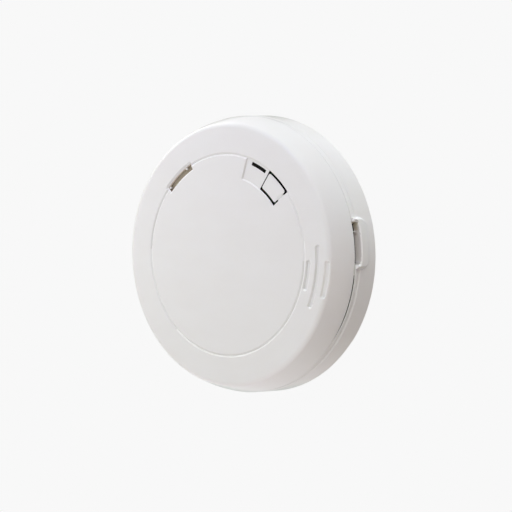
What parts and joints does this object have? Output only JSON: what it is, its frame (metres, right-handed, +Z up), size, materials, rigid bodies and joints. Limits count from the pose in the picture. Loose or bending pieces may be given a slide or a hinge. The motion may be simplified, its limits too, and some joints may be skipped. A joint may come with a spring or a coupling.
{
  "type": "smoke alarm",
  "caption": "Slim round white smoke alarm with a grooved face, a test button, horn and light slots, side air inlets and a twist-lock wall bracket.",
  "frame": {"origin": "centre of the bracket's back face, which lies on the wall", "axes": "+Z up, -Y out of the wall towards the room through the alarm's front face, +X to the right seen from the front, with the test button at upper right"},
  "size_m": [0.1423, 0.0302, 0.141],
  "materials": {
    "shell_plastic": "fine satin moulded texture, white",
    "bracket_plastic": "satin moulded, white",
    "smoked_plastic": "smoked, glossy",
    "board_laminate": "green solder mask over glass laminate",
    "black_plastic": "fine matt black",
    "capacitor_sleeve": "shrunk sleeve over an aluminium can",
    "coil_copper": "lacquered copper winding",
    "led_epoxy": "water clear epoxy",
    "infrared_epoxy": "dark tinted epoxy",
    "zinc_steel": "zinc plated",
    "nickel_steel": "nickel plated",
    "horn_brass": "rolled brass sheet",
    "piezo_ceramic": "fired ceramic with a silvered face",
    "cell_sleeve": "plain shrunk sleeve over a steel can",
    "foam_pad": "closed cell foam"
  },
  "bodies": {
    "bracket": {"mounting_bracket": "bracket_plastic"},
    "alarm": {"rear_housing": "shell_plastic", "front_cover": "shell_plastic", "light_pipe": "smoked_plastic", "circuit_board": "board_laminate", "controller_chip": "black_plastic", "storage_capacitor": "capacitor_sleeve", "horn_coil": "coil_copper", "tact_switch_body": "black_plastic", "status_led": "led_epoxy", "power_switch_can": "zinc_steel", "horn_housing": "bracket_plastic", "piezo_disc": "horn_brass", "piezo_ceramic": "piezo_ceramic", "horn_retaining_ring": "bracket_plastic", "piezo_spring_centre": "nickel_steel", "piezo_spring_feedback": "nickel_steel", "piezo_spring_rim": "nickel_steel", "chamber_base": "black_plastic", "chamber_cap": "black_plastic", "insect_screen": "zinc_steel", "infrared_emitter": "infrared_epoxy", "photodiode": "infrared_epoxy", "lithium_cell": "cell_sleeve", "battery_tab_positive": "nickel_steel", "battery_tab_negative": "nickel_steel", "battery_foam_pad": "foam_pad", "board_screw_1": "zinc_steel", "board_screw_2": "zinc_steel", "board_screw_3": "zinc_steel", "cover_screw_1": "zinc_steel", "cover_screw_2": "zinc_steel", "cover_screw_3": "zinc_steel", "cover_screw_4": "zinc_steel"},
    "button": {"test_button": "shell_plastic"},
    "switch_plunger": {"tact_switch_plunger": "black_plastic"},
    "power_knob": {"power_switch_knob": "black_plastic"}
  },
  "joints": [
    {"name": "bracket_twist", "type": "hinge", "parent": "bracket", "child": "alarm", "pos_m": [0, 0, 0], "axis": [0, -1, 0], "range_deg": [0, 16]},
    {"name": "button_press", "type": "hinge", "parent": "alarm", "child": "button", "pos_m": [0.03506, -0.0289, 0.02814], "axis": [-0.7799, 0, -0.6259], "range_deg": [0, 4], "stiffness_Nm_per_rad": 0.02},
    {"name": "switch_travel", "type": "slide", "parent": "alarm", "child": "switch_plunger", "axis": [0, 1, 0], "range_m": [0, 0.00035]},
    {"name": "power_slide", "type": "slide", "parent": "alarm", "child": "power_knob", "axis": [1, 0, 0], "range_m": [0, 0.004]}
  ],
  "couplings": [
    {"joint": "switch_travel", "follows": "button_press", "m_per_rad": 0.0049}
  ]
}
